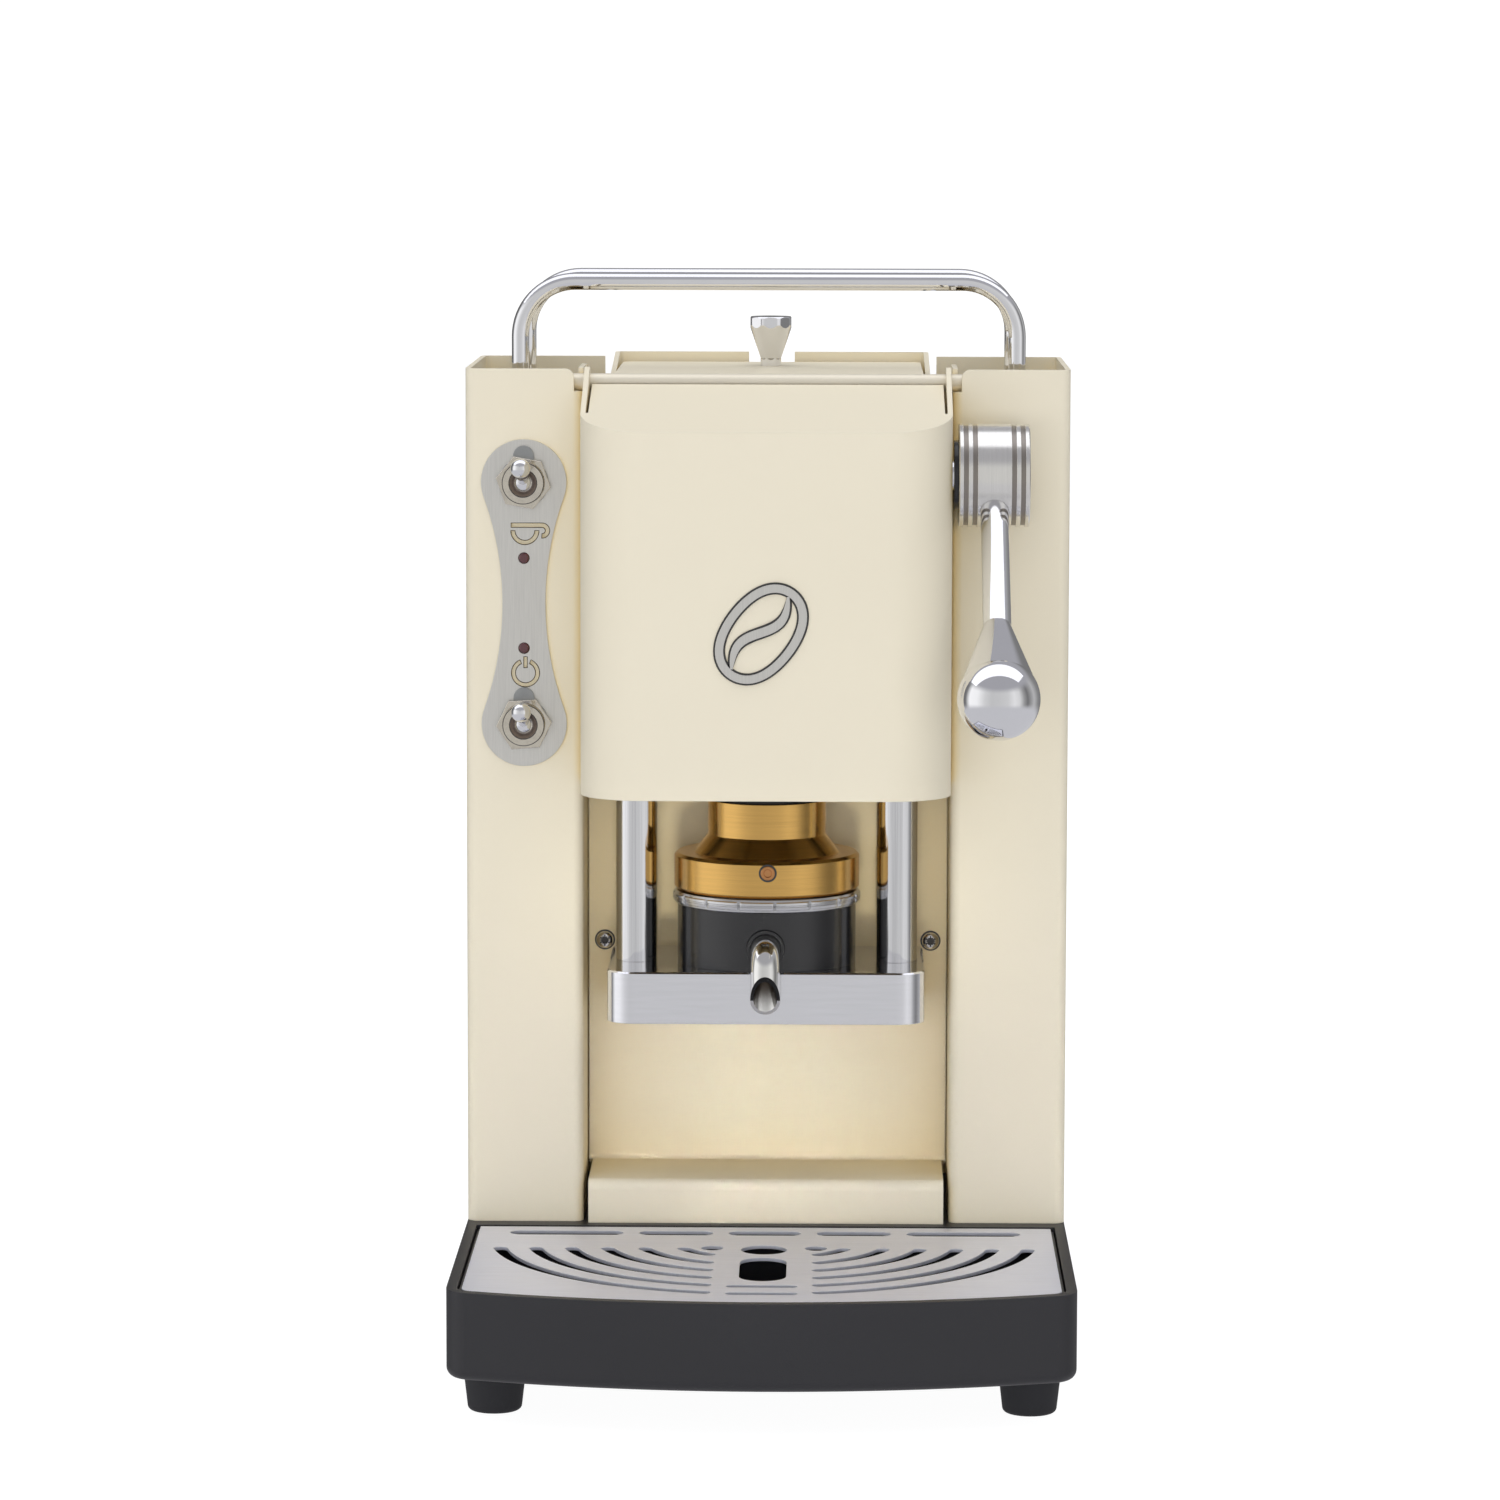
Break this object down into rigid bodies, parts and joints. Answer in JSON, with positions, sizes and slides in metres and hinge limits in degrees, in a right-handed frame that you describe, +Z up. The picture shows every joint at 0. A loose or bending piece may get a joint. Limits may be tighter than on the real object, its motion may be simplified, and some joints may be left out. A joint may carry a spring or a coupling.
{
  "type": "espresso pod machine",
  "caption": "Countertop pod coffee machine with a sheet-metal body, hinged hood, side lever that lowers a brass piston, drip plate and carrying rods.",
  "frame": {"origin": "on the surface the feet stand on, under the middle of the body", "axes": "+Z up, -Y towards the user, +X to the user's right"},
  "size_m": [0.175, 0.23, 0.315],
  "materials": {
    "cream_paint": "satin",
    "black_base": "fine grain",
    "foot_rubber": "matt",
    "brushed_steel": "brushed",
    "chrome": "polished",
    "nickel": "plated",
    "piston_brass": "turned",
    "black_resin": "smooth",
    "seal_silver": "bright",
    "tank_plastic": "clear",
    "hose_silicone": "translucent",
    "cast_alloy": "cast",
    "pump_plastic": "moulded",
    "lamp_red": "clear red"
  },
  "bodies": {
    "root": {"column_left": "cream_paint", "column_right": "cream_paint", "centre_panel": "cream_paint", "rear_cover": "cream_paint", "base_shell": "black_base", "power_inlet": "black_base", "foot_front_left": "foot_rubber", "foot_front_right": "foot_rubber", "foot_rear_left": "foot_rubber", "foot_rear_right": "foot_rubber", "pump_mounts": "foot_rubber", "switch_plate": "brushed_steel", "tank_shelf": "brushed_steel", "head_bracket": "brushed_steel", "handle_blocks": "brushed_steel", "group_plate": "chrome", "post_left": "chrome", "post_right": "chrome", "spout_tube": "chrome", "handle_rod_front": "chrome", "handle_rod_rear": "chrome", "hinge_rod": "chrome", "panel_screws": "chrome", "switch_nuts": "nickel", "switch_washers": "nickel", "switch_brew": "nickel", "switch_power": "nickel", "feed_tube": "nickel", "shaft_bushes": "piston_brass", "pod_holder": "black_resin", "spout_collar": "black_resin", "seal_ring": "seal_silver", "water_tank": "tank_plastic", "hot_hose": "hose_silicone", "suction_hose": "hose_silicone", "pressure_hose": "hose_silicone", "boiler": "cast_alloy", "pump": "pump_plastic", "thermostats": "pump_plastic", "lamps": "lamp_red"},
    "lever": {"lever_hub": "brushed_steel", "lever_rod": "chrome", "lever_knob": "chrome", "lever_shaft": "chrome", "hub_spacer": "black_resin", "cam_plates": "brushed_steel"},
    "piston": {"piston": "piston_brass", "shower_screen": "brushed_steel", "piston_stem": "black_resin", "crosshead": "brushed_steel", "guide_bushes": "piston_brass", "follower_pin": "chrome"},
    "brew_toggle": {"bat_brew": "chrome"},
    "power_toggle": {"bat_power": "chrome"},
    "hood": {"hood": "cream_paint"},
    "tank_lid": {"tank_lid": "cream_paint", "lid_knob": "chrome"},
    "drip_tub": {"drip_tub": "black_base"},
    "drip_plate": {"drip_plate": "brushed_steel"}
  },
  "joints": [
    {"name": "lever_lift", "type": "hinge", "parent": "root", "child": "lever", "pos_m": [0.0653, -0.0165, 0.2588], "axis": [-1, 0, 0], "range_deg": [0, 95]},
    {"name": "piston_slide", "type": "slide", "parent": "root", "child": "piston", "axis": [0, 0, 1], "range_m": [0, 0.009]},
    {"name": "brew_switch", "type": "hinge", "parent": "root", "child": "brew_toggle", "pos_m": [-0.0705, 0.0005, 0.2552], "axis": [1, 0, 0], "range_deg": [0, 34]},
    {"name": "power_switch", "type": "hinge", "parent": "root", "child": "power_toggle", "pos_m": [-0.0705, 0.0005, 0.185], "axis": [1, 0, 0], "range_deg": [0, 34]},
    {"name": "hood_hinge", "type": "hinge", "parent": "root", "child": "hood", "pos_m": [0, 0.007, 0.284], "axis": [-1, 0, 0], "range_deg": [0, 85]},
    {"name": "lid_lift", "type": "slide", "parent": "root", "child": "tank_lid", "axis": [0, 0, 1], "range_m": [0, 0.022]},
    {"name": "tub_lift", "type": "slide", "parent": "root", "child": "drip_tub", "axis": [0, 0, 1], "range_m": [0, 0.022]},
    {"name": "plate_lift", "type": "slide", "parent": "drip_tub", "child": "drip_plate", "axis": [0, 0, 1], "range_m": [0, 0.03]}
  ],
  "couplings": [
    {"joint": "piston_slide", "follows": "lever_lift", "m_per_rad": 0.005428}
  ]
}
